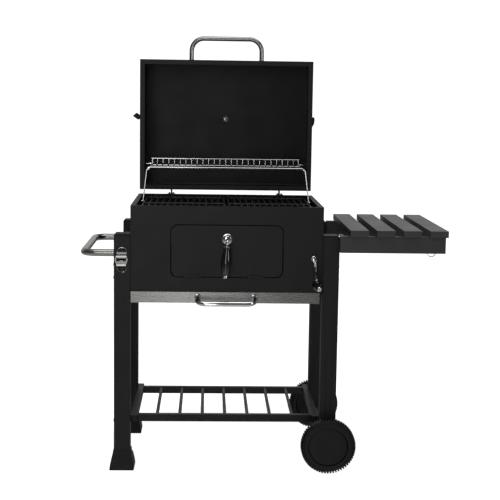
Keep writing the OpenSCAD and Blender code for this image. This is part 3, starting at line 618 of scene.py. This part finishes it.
def door_handle():
    """A rosette, an elbow and a turned grip that hangs a little off plumb."""
    hang = turned_about((0, 0, ROSETTE_Z), 3, "Y")
    drop = -45
    form = Form()
    rosette = [(0, 0.3), (15.6, 0.3), (16.4, 1.0), (16.4, 2.6), (15.2, 3.8), (11, 4.6), (10, 5.4),
               (9.2, 7.6), (7.0, 8.4), (0, 8.6)]
    form.lathe((0, 0, ROSETTE_Z), (0, -1, 0), rosette, 72)
    points = [(0, 16, ROSETTE_Z), (0, drop, ROSETTE_Z), (0, drop, 705)]
    form.tube(rounded_path(points, 12, 12), 3.9, 28)
    tip = [(0, 0), (4.5, 0.3), (7.2, 1.6), (8.2, 3.8), (8.0, 6.2), (6.8, 8.6), (6.2, 11), (0, 11)]
    form.lathe((0, drop, 608.6), (0, 0, 1), tip, 48)
    form.moved(hang).piece("door_handle_chrome", "door_handle", "bright_chrome", ["door_handle_metal"])
    form = Form()
    grip = [(0, 0), (10.2, 0), (11.0, 0.8), (12.2, 6), (13.8, 12), (14.9, 19), (15.4, 26), (15.5, 32),
            (15.4, 38), (14.8, 45), (13.9, 52), (12.8, 59), (11.4, 66), (10.0, 72), (9.0, 77), (9.0, 79),
            (11.6, 79.6), (12, 80.6), (12, 84.6), (11.2, 85.8), (0, 86)]
    form.lathe((0, drop, 619.6), (0, 0, 1), grip, 64)
    form.moved(hang).piece("door_handle_bulb", "door_handle", "black_gloss_plastic",
                           ["door_handle_grip"], 0, 50)


def crank():
    """The arm with its beads and sleeve, the spinning knob, and the collar on the firebox."""
    shaft = Vector((266.5, 0, 665.8))
    lean = math.radians(5.9)
    down = Vector((math.sin(lean), 0, -math.cos(lean)))
    elbow = shaft + Vector((0, -30, 0))
    hub = elbow + down * 77.5

    form = Form()
    form.tube([shaft + Vector((0, -24, 0)), shaft + Vector((0, 31, 0))], 5.0, 32)
    form.lathe(elbow, (0, -1, 0), [(0, -6), (5, -6), (7, -5), (7, 4), (6.2, 5.4), (4, 6), (0, 6)], 40)
    form.tube([elbow, hub], 3.4, 24)
    for place, half, radius in ((11.2, 4.6, 4.8), (18.6, 2.6, 4.8), (62.0, 2.0, 5.0)):
        bead = [(0, -half), (radius * 0.8, -half), (radius, -half * 0.4), (radius, half * 0.4),
                (radius * 0.8, half), (0, half)]
        form.lathe(elbow + down * place, down, bead, 32)
    form.lathe(hub, (0, 1, 0), [(0, -9), (3, -9), (3, 4.5), (6.5, 4.5), (6.5, 7.5), (5, 8.8), (0, 9)], 32)
    teeth(form, (shaft.x, 18, shaft.z), 12)
    form.piece("crank_steel", "crank", "bright_chrome", ["crank_shaft"], 0, 35)

    form = Form()
    sleeve = [(3.5, 21.0), (5.0, 21.0), (5.4, 21.8), (5.4, 58.4), (5.0, 59.2), (3.5, 59.4)]
    form.lathe(elbow, down, sleeve, 40, closed=True)
    form.piece("crank_grip_sleeve", "crank", "black_gloss_plastic", ["crank_sleeve"])

    form = Form()
    knob = [(3.05, 5), (3.05, 0), (12.6, 0), (13.0, 0.4), (13.0, 1.0), (15.1, 2.6), (15.5, 3.6), (14.2, 7.8),
            (11.6, 11.4), (9.4, 14.5), (8.0, 19), (7.4, 25), (7.6, 33), (8.0, 41), (7.7, 50), (6.6, 61),
            (5.6, 67.6), (0, 68)]
    form.lathe(hub + Vector((0, -4.5, 0)), (0, -1, 0), knob, 56)
    form.piece("crank_knob_grip", "crank_knob", "black_gloss_plastic", ["crank_knob"], 0, 50)
    form = Form()
    form.ball(Vector((hub.x, -108.2, hub.z)), 7.8, 1.0, (0, 1, 0), 48)
    form.piece("crank_knob_ball", "crank_knob", "bright_chrome", ["crank_knob_cap"], 0, 80)

    form = Form()
    collar = [(5.05, 0), (8.4, 0), (8.4, 2.2), (7.6, 3.2), (6.8, 3.6), (6.8, 8.2), (6.2, 9), (5.05, 9)]
    form.lathe(shaft, (0, -1, 0), collar, 48, closed=True)
    form.piece("crank_collar_ring", "cart", "bright_chrome", ["crank_collar"])


def teeth(form, base, count):
    """The pinion on the crank shaft, with straight-sided teeth."""
    outline = []
    for i in range(count):
        middle = 180 + i * 360 / count
        for radius, turn in ((9.5, -7.6), (12.0, -6.8), (14.0, -3.0), (14.0, 3.0), (12.0, 6.8), (9.5, 7.6)):
            a = math.radians(middle + turn)
            outline.append((radius * math.cos(a), radius * math.sin(a)))
    form.prism(outline, (0, 12, 0), base)


def drawer_handle():
    """A bow that drops a little towards its grip, with a round washer at each foot."""
    middle = Vector((-1.3, -2, 544.5))
    half, reach = 87, -51.6
    tilt = Matrix.Rotation(math.radians(14), 3, "X")
    points = [(-half, 0.5, 0), (-half, reach, 0), (half, reach, 0), (half, 0.5, 0)]
    form = Form()
    form.tube([middle + tilt @ p for p in rounded_path(points, 24, 14)], 8.0, 36)
    washer = [(0, 0), (10, 0), (10, 1.6), (9.4, 2.6), (8.4, 3.0), (0, 3.0)]
    for sign in (-1, 1):
        form.lathe(middle + Vector((sign * half, 0, 0)), (0, -1, 0), washer, 48)
    form.piece("drawer_handle_bow", "ash_drawer", "bright_chrome", ["drawer_handle"])


# ---------------------------------------------------------------- wheels


def wheel(name, hub_name, face_y, out):
    """A wheel whose outer side is at face_y; out is -1 for the front wheel and 1 for the rear."""
    centre = Vector((LEG_X, face_y, AXLE_Z))
    inward = Vector((0, -out, 0))
    form = Form()
    tyre = [(5.05, 8), (14, 8), (14, 15), (60.4, 15), (61.2, 2.6), (64.5, 0.9), (68, 0.6), (72, 1.2),
            (76.5, 3.4), (79, 5.6), (80.4, 9.0), (80.4, 29.0), (79, 32.4), (76.5, 34.6), (72, 36.8),
            (64, 37.4), (61.5, 35), (60, 22), (14, 22), (14, 36), (5.05, 36)]
    form.lathe(centre, inward, tyre, 144, closed=True)
    rib = [(71.5, 1.0), (74.0, 0.1), (79.5, 0.6), (83.0, 2.6), (84.6, 5.0), (85.0, 8.0), (85.0, 30.0),
           (84.6, 33.0), (83.0, 35.4), (79.5, 37.4), (74.0, 37.9), (71.5, 37.0), (79.0, 32.0), (79.0, 6.0)]
    thick = 4.8
    for a in full_turn(60):
        way = Vector((math.cos(a), 0, math.sin(a)))
        across = Vector((-math.sin(a), 0, math.cos(a)))
        form.prism(rib, across * thick, centre - across * (thick / 2), way, inward)
    form.piece(name + "_tyre", name, "black_plastic", [name], 0, 38)
    form = Form()
    disc = [(0, 5.2), (20, 5.2), (22, 5.0), (56.5, 5.0), (58.6, 5.3), (59.9, 6.0), (59.9, 8.0), (0, 8.0)]
    form.lathe(centre, inward, disc, 120)
    form.piece(hub_name + "_disc", name, "black_plastic", [hub_name], 0, 38)


# ---------------------------------------------------------------- stage


def floor_and_backdrop():
    """A white floor that curves up into a wall all round the cart; it lights nothing and casts nothing."""
    white = Finish("studio_white")
    white.set(Base_Color=(0.86, 0.86, 0.86, 1), Roughness=0.9, Specular_IOR_Level=0.1,
              Emission_Color=(1, 1, 1, 1), Emission_Strength=1.0)
    # Metres: the flat floor's radius, the curve's radius, the wall's height and the gap under the feet
    flat, curve, wall, gap = 9.0, 2.0, 12.0, 0.0002
    sides = 96
    section = [(0.5, 0.0), (flat, 0.0)]
    section += [(flat + curve * math.sin(a), curve - curve * math.cos(a))
                for a in [math.pi / 2 * i / 24 for i in range(1, 25)]]
    section.append((flat + curve, wall))
    verts = [(r * math.cos(a), r * math.sin(a), z - gap) for r, z in section for a in full_turn(sides)]
    faces = [tuple(range(sides))]
    for i in range(len(section) - 1):
        low, high = sides * i, sides * (i + 1)
        faces += [(low + k, low + (k + 1) % sides, high + (k + 1) % sides, high + k) for k in range(sides)]
    mesh = bpy.data.meshes.new("studio_sweep")
    mesh.from_pydata(verts, [], faces)
    mesh.shade_smooth()
    mesh.materials.append(white.material)
    sweep = bpy.data.objects.new("studio_sweep", mesh)
    bpy.context.scene.collection.objects.link(sweep)
    for kind in ("diffuse", "glossy", "transmission", "shadow"):
        setattr(sweep, "visible_" + kind, False)


def area_light(name, place, target, size, power):
    data = bpy.data.lights.new(name, "AREA")
    data.shape = "RECTANGLE"
    data.size, data.size_y = size
    data.energy = power
    light = bpy.data.objects.new(name, data)
    light.location = place
    light.rotation_euler = (Vector(target) - Vector(place)).to_track_quat("-Z", "Y").to_euler()
    bpy.context.scene.collection.objects.link(light)


# Grey levels of the studio from straight down (0) to straight up (1), and what its back wall adds to them
ROOM = ((0.0, 0.40), (0.10, 0.55), (0.20, 0.42), (0.29, 0.26), (0.35, 0.21), (0.40, 0.11), (0.52, 0.06),
        (0.75, 0.07), (0.90, 0.16), (1.0, 0.24))
BACK_WALL = ((0.44, 0.0), (0.52, 0.52), (0.70, 0.52), (0.82, 0.05))


def level_ramp(nodes, stops):
    ramp = nodes.new("ShaderNodeValToRGB")
    elements = ramp.color_ramp.elements
    elements[0].position, elements[1].position = stops[0][0], stops[-1][0]
    for element, level in ((elements[0], stops[0][1]), (elements[1], stops[-1][1])):
        element.color = (level, level, level, 1)
    for place, level in stops[1:-1]:
        elements.new(place).color = (level, level, level, 1)
    return ramp


def studio_world():
    """A grey room with a brighter wall at the back, which shows only in reflections and soft light."""
    world = bpy.data.worlds.new("studio")
    bpy.context.scene.world = world
    world.use_nodes = True
    nodes, links = world.node_tree.nodes, world.node_tree.links
    coords = nodes.new("ShaderNodeTexCoord")
    split = nodes.new("ShaderNodeSeparateXYZ")
    links.new(coords.outputs["Generated"], split.inputs["Vector"])
    height = nodes.new("ShaderNodeMapRange")
    height.inputs["From Min"].default_value = -1.0
    links.new(split.outputs["Z"], height.inputs["Value"])
    room = level_ramp(nodes, ROOM)
    wall = level_ramp(nodes, BACK_WALL)
    links.new(height.outputs["Result"], room.inputs["Fac"])
    links.new(height.outputs["Result"], wall.inputs["Fac"])
    behind = nodes.new("ShaderNodeMapRange")
    behind.inputs["From Min"].default_value = 0.15
    behind.inputs["From Max"].default_value = 0.75
    links.new(split.outputs["Y"], behind.inputs["Value"])
    share = nodes.new("ShaderNodeMath")
    share.operation = "MULTIPLY_ADD"
    links.new(wall.outputs["Color"], share.inputs[0])
    links.new(behind.outputs["Result"], share.inputs[1])
    links.new(room.outputs["Color"], share.inputs[2])
    links.new(share.outputs["Value"], nodes["Background"].inputs["Color"])


def lights():
    area_light("top_box", (0.2, -0.5, 3.6), (0.0, -0.1, 0.8), (3.4, 2.0), 40)
    area_light("left_softbox", (-0.8, -3.8, 1.4), (0, 0, 0.75), (0.9, 1.9), 13)
    area_light("right_softbox", (3.1, -2.4, 1.6), (0.3, 0, 0.75), (0.8, 1.8), 20)
    area_light("low_strip", (-0.30, -3.4, -0.35), (-0.1, 0, 0.65), (0.12, 2.8), 5.0)


def camera():
    """The camera that matches the photograph's view."""
    pitch, yaw, roll = math.radians(7.5), math.radians(2.1), math.radians(0.84)
    ahead = Vector((math.sin(yaw) * math.cos(pitch), math.cos(yaw) * math.cos(pitch), -math.sin(pitch)))
    right = Vector((math.cos(yaw), -math.sin(yaw), 0))
    up = right.cross(ahead)
    tilted_right = right * math.cos(roll) + up * math.sin(roll)
    tilted_up = -right * math.sin(roll) + up * math.cos(roll)
    data = bpy.data.cameras.new("camera")
    data.sensor_width = 36.0
    data.lens = 84.37
    data.clip_end = 100.0
    seen_from = bpy.data.objects.new("camera", data)
    turn = Matrix((tilted_right, tilted_up, -ahead)).transposed().to_4x4()
    seen_from.matrix_world = Matrix.Translation(at(-60, -3552, 1159)) @ turn
    bpy.context.scene.collection.objects.link(seen_from)
    bpy.context.scene.camera = seen_from


dress_cad_nodes()
grates()
push_handle()
feet()
axle()
shelf_bars()
hook()
opener_backing()
bottle_opener()
bolts()
lid_handle()
thermometer()
rack_bolts()
warming_rack()
rack_legs()
vents()
door_handle()
crank()
drawer_handle()
wheel("wheel_front", "hub_cap_front", -54.5, -1)
wheel("wheel_rear", "hub_cap_rear", 496.5, 1)
floor_and_backdrop()
studio_world()
lights()
camera()

scene = bpy.context.scene
scene.view_settings.view_transform = "Standard"
scene.view_settings.look = "None"
